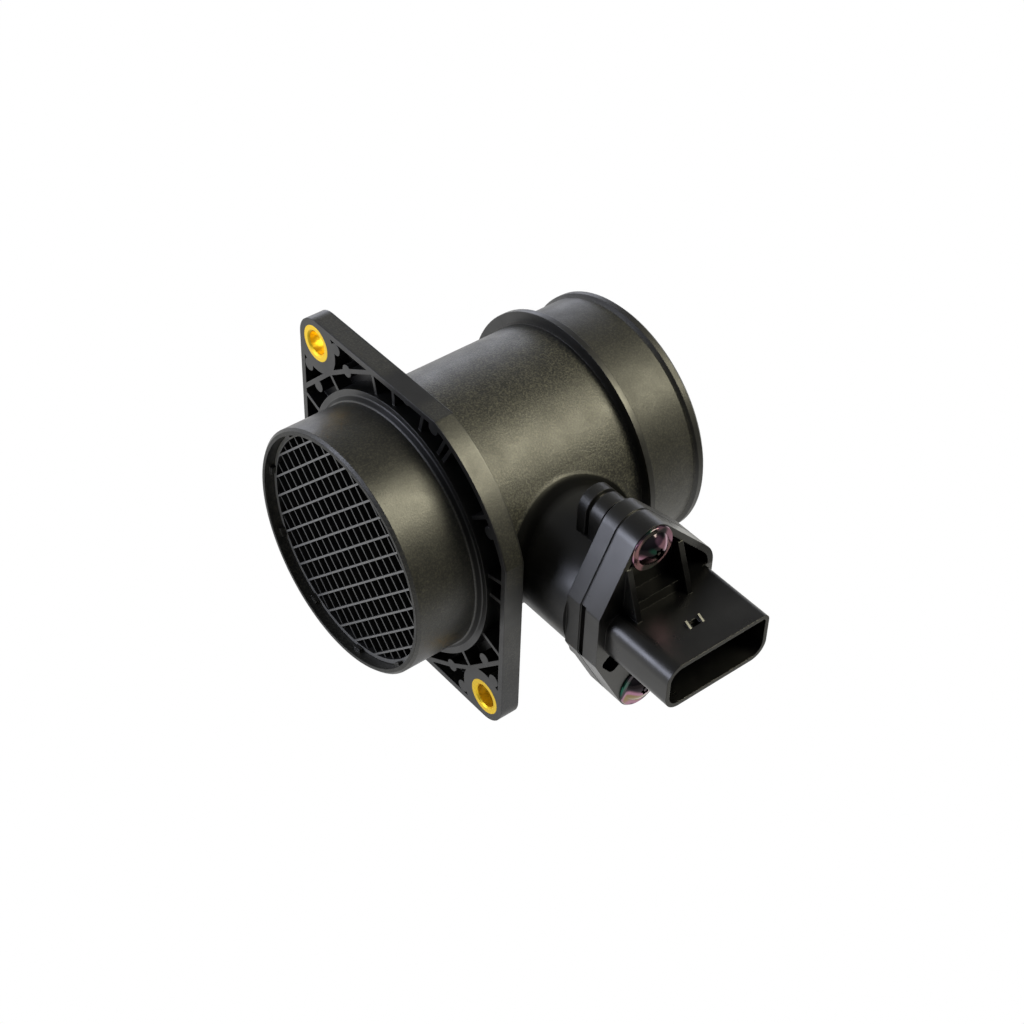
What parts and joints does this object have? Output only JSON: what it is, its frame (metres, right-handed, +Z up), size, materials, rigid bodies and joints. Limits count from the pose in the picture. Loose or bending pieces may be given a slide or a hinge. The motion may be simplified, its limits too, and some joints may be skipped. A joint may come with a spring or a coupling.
{
  "type": "mass airflow sensor",
  "caption": "Flanged air duct with a flow grid at its inlet and a sensor head on its side that ends in a keyed connector socket.",
  "frame": {"origin": "on the tube axis, in the mounting face of the flange", "axes": "+X along the flow, from the inlet grid to the outlet; -Y towards the connector; +Z up, with the bolts on a diagonal of Y and Z"},
  "size_m": [0.0964, 0.1322, 0.0872],
  "materials": {
    "housing_plastic": "fine grained moulding, black",
    "sensor_plastic": "smooth moulding, black",
    "cover_plastic": "smooth moulding, black",
    "grid_plastic": "moulded, dark grey",
    "bush_brass": "turned, bright yellow passivated",
    "screw_steel": "dark passivated, iridescent",
    "seal_rubber": "matt",
    "pin_tin": "tin plated",
    "carrier_aluminium": "rolled",
    "board_ceramic": "white ceramic substrate",
    "chip_epoxy": "moulded epoxy",
    "capacitor_ceramic": "fired ceramic",
    "tongue_metal": "rolled",
    "sensing_silicon": "polished silicon"
  },
  "bodies": {
    "root": {"tube_housing": "housing_plastic", "flow_straightener": "grid_plastic", "upper_bolt_bush": "bush_brass", "lower_bolt_bush": "bush_brass", "sensor_housing": "sensor_plastic", "upper_sensor_screw": "screw_steel", "lower_sensor_screw": "screw_steel", "sensor_o_ring": "seal_rubber", "terminal_pin_1": "pin_tin", "terminal_pin_2": "pin_tin", "terminal_pin_3": "pin_tin", "terminal_pin_4": "pin_tin", "terminal_pin_5": "pin_tin", "carrier_plate": "carrier_aluminium", "hybrid_board": "board_ceramic", "evaluation_chip": "chip_epoxy", "board_capacitors": "capacitor_ceramic", "chip_carrier": "tongue_metal", "sensing_chip": "sensing_silicon", "electronics_cover": "cover_plastic", "bypass_cover": "cover_plastic"}
  },
  "joints": []
}
